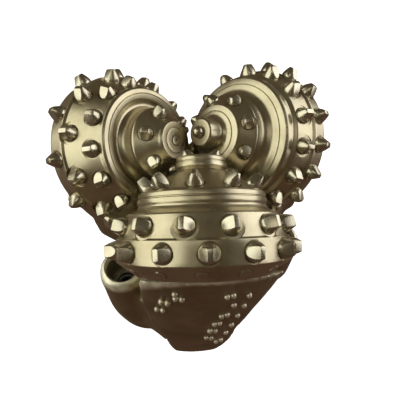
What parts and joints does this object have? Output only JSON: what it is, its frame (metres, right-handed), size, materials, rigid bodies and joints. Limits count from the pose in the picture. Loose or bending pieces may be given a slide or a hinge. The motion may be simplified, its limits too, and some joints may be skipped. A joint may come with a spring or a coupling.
{
  "type": "tricone drill bit",
  "caption": "Roller-cone rock bit: forged legs with jet nozzles join in a tapered threaded pin, and each carries a free-spinning cone studded with wedge-crested hard inserts.",
  "frame": {"origin": "centre of the pin's end face, on the bit's axis", "axes": "+Z along the bit's axis from the pin towards the cones; the cone with the cut-off stepped nose faces -Y"},
  "size_m": [0.2131, 0.2077, 0.3403],
  "materials": {
    "body_steel": "satin bronze-gold paint on forged steel",
    "cone_steel": "satin bronze-gold paint on turned steel",
    "insert_carbide": "satin bronze-gold paint on sintered carbide",
    "nozzle_carbide": "ground sintered carbide",
    "spring_steel": "oiled spring steel",
    "ball_steel": "polished bearing steel",
    "bearing_bronze": "turned bearing bronze",
    "cap_steel": "satin bronze-gold paint on turned steel",
    "seal_rubber": "matte nitrile rubber"
  },
  "bodies": {
    "bit_body": {"leg_1": "body_steel", "nozzle_1": "nozzle_carbide", "nozzle_snap_ring_1": "spring_steel", "nozzle_o_ring_1": "seal_rubber", "reservoir_cap_1": "cap_steel", "reservoir_snap_ring_1": "spring_steel", "diaphragm_1": "seal_rubber", "ball_plug_1": "cap_steel", "journal_bushing_1": "bearing_bronze", "thrust_washer_1": "bearing_bronze", "seal_ring_1": "seal_rubber", "leg_2": "body_steel", "nozzle_2": "nozzle_carbide", "nozzle_snap_ring_2": "spring_steel", "nozzle_o_ring_2": "seal_rubber", "reservoir_cap_2": "cap_steel", "reservoir_snap_ring_2": "spring_steel", "diaphragm_2": "seal_rubber", "ball_plug_2": "cap_steel", "journal_bushing_2": "bearing_bronze", "thrust_washer_2": "bearing_bronze", "seal_ring_2": "seal_rubber", "leg_3": "body_steel", "nozzle_3": "nozzle_carbide", "nozzle_snap_ring_3": "spring_steel", "nozzle_o_ring_3": "seal_rubber", "reservoir_cap_3": "cap_steel", "reservoir_snap_ring_3": "spring_steel", "diaphragm_3": "seal_rubber", "ball_plug_3": "cap_steel", "journal_bushing_3": "bearing_bronze", "thrust_washer_3": "bearing_bronze", "seal_ring_3": "seal_rubber"},
    "cone_1": {"cone_1_shell": "cone_steel", "cone_1_gage_inserts": "insert_carbide", "cone_1_second_inserts": "insert_carbide", "cone_1_inner_inserts": "insert_carbide", "cone_1_heel_inserts": "insert_carbide", "cone_1_nose_insert": "insert_carbide"},
    "balls_1": {"ball_set_1": "ball_steel"},
    "cone_2": {"cone_2_shell": "cone_steel", "cone_2_gage_inserts": "insert_carbide", "cone_2_second_inserts": "insert_carbide", "cone_2_third_inserts": "insert_carbide", "cone_2_inner_inserts": "insert_carbide", "cone_2_heel_inserts": "insert_carbide", "cone_2_nose_insert": "insert_carbide"},
    "balls_2": {"ball_set_2": "ball_steel"},
    "cone_3": {"cone_3_shell": "cone_steel", "cone_3_gage_inserts": "insert_carbide", "cone_3_second_inserts": "insert_carbide", "cone_3_inner_inserts": "insert_carbide", "cone_3_heel_inserts": "insert_carbide", "cone_3_nose_inserts": "insert_carbide"},
    "balls_3": {"ball_set_3": "ball_steel"}
  },
  "joints": [
    {"name": "cone_1_spin", "type": "hinge", "parent": "bit_body", "child": "cone_1", "pos_m": [-0.002, 0.00346, 0.322], "axis": [0.7213, 0.4165, -0.5534], "continuous": true},
    {"name": "balls_1_orbit", "type": "hinge", "parent": "bit_body", "child": "balls_1", "pos_m": [-0.002, 0.00346, 0.322], "axis": [0.7213, 0.4165, -0.5534], "continuous": true},
    {"name": "cone_2_spin", "type": "hinge", "parent": "bit_body", "child": "cone_2", "pos_m": [-0.002, -0.00346, 0.322], "axis": [-0.7213, 0.4165, -0.5534], "continuous": true},
    {"name": "balls_2_orbit", "type": "hinge", "parent": "bit_body", "child": "balls_2", "pos_m": [-0.002, -0.00346, 0.322], "axis": [-0.7213, 0.4165, -0.5534], "continuous": true},
    {"name": "cone_3_spin", "type": "hinge", "parent": "bit_body", "child": "cone_3", "pos_m": [0.004, 0, 0.322], "axis": [0, -0.8329, -0.5534], "continuous": true},
    {"name": "balls_3_orbit", "type": "hinge", "parent": "bit_body", "child": "balls_3", "pos_m": [0.004, 0, 0.322], "axis": [0, -0.8329, -0.5534], "continuous": true}
  ],
  "couplings": [
    {"joint": "balls_1_orbit", "follows": "cone_1_spin", "ratio": 0.593},
    {"joint": "balls_2_orbit", "follows": "cone_2_spin", "ratio": 0.593},
    {"joint": "balls_3_orbit", "follows": "cone_3_spin", "ratio": 0.593}
  ]
}
